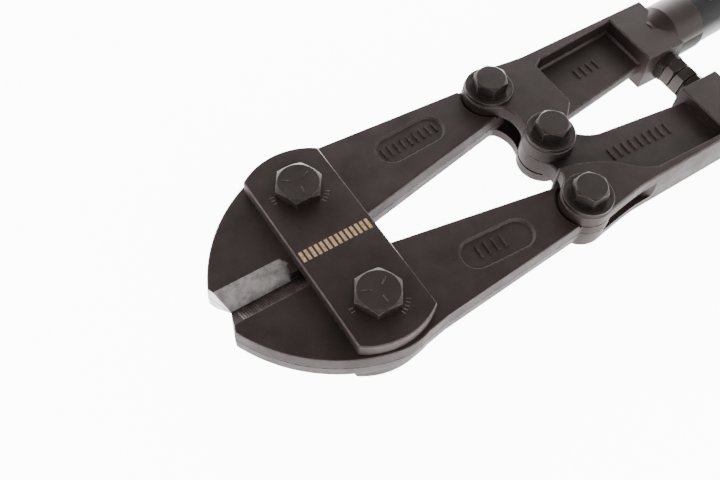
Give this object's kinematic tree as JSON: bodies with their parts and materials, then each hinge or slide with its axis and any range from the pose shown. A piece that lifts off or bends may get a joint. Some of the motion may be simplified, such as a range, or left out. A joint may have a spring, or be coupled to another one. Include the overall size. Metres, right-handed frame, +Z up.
{
  "type": "bolt cutters",
  "caption": "Long-handled centre-cut bolt cutters: bevelled jaws between two link plates, drawn shut by a compound lever on tubular handles with rubber grips.",
  "frame": {"origin": "on the surface the tool lies on, under the middle of its whole length and of its width", "axes": "+X from the jaws back along the handles, +Y to the left-hand side seen from above with the jaws pointing away, +Z up from the surface"},
  "size_m": [1.05, 0.1678, 0.06],
  "materials": {
    "forged_steel": "dark phosphated forging with ground edges",
    "plate_steel": "dark phosphated rolled plate",
    "fastener_steel": "oil-blackened",
    "tube_steel": "satin black powder coat",
    "rivet_steel": "dull",
    "grip_rubber": "matt moulded"
  },
  "bodies": {
    "link_plates": {"bottom_plate": "plate_steel", "jaw_bolt_left": "fastener_steel", "jaw_bolt_right": "fastener_steel", "jaw_nut_left": "fastener_steel", "jaw_nut_right": "fastener_steel", "jaw_washer_left": "fastener_steel", "jaw_washer_right": "fastener_steel", "top_plate": "plate_steel"},
    "left_jaw": {"jaw_left": "forged_steel"},
    "right_jaw": {"jaw_right": "forged_steel"},
    "left_handle": {"centre_bolt": "fastener_steel", "centre_nut": "fastener_steel", "centre_washer": "fastener_steel", "grip_left": "grip_rubber", "handle_head_left": "forged_steel", "handle_tube_left": "tube_steel", "stop_bolt_left": "fastener_steel", "stop_nut_left": "fastener_steel", "tail_bolt_left": "fastener_steel", "tail_nut_left": "fastener_steel", "tail_washer_left": "fastener_steel", "tube_rivets_left": "rivet_steel"},
    "right_handle": {"grip_right": "grip_rubber", "handle_head_right": "forged_steel", "handle_tube_right": "tube_steel", "stop_bolt_right": "fastener_steel", "stop_nut_right": "fastener_steel", "tail_bolt_right": "fastener_steel", "tail_nut_right": "fastener_steel", "tail_washer_right": "fastener_steel", "tube_rivets_right": "rivet_steel"}
  },
  "joints": [
    {"name": "left_jaw_hinge", "type": "hinge", "parent": "link_plates", "child": "left_jaw", "pos_m": [-0.456, 0.03875, 0.03484], "axis": [0, 0, -1], "range_deg": [0, 8.7]},
    {"name": "right_jaw_hinge", "type": "hinge", "parent": "link_plates", "child": "right_jaw", "pos_m": [-0.456, -0.03875, 0.03484], "axis": [0, 0, 1], "range_deg": [0, 8.7]},
    {"name": "left_handle_hinge", "type": "hinge", "parent": "left_jaw", "child": "left_handle", "pos_m": [-0.32133, 0.0453, 0.03484], "axis": [0, 0, 1], "range_deg": [0, 53.69]},
    {"name": "right_handle_hinge", "type": "hinge", "parent": "right_jaw", "child": "right_handle", "pos_m": [-0.32133, -0.0453, 0.03484], "axis": [0, 0, -1], "range_deg": [0, 53.7]}
  ],
  "couplings": [
    {"joint": "left_jaw_hinge", "follows": "left_handle_hinge", "ratio": 0.1619},
    {"joint": "right_jaw_hinge", "follows": "left_handle_hinge", "ratio": 0.1619},
    {"joint": "right_handle_hinge", "follows": "left_handle_hinge", "ratio": 1}
  ]
}
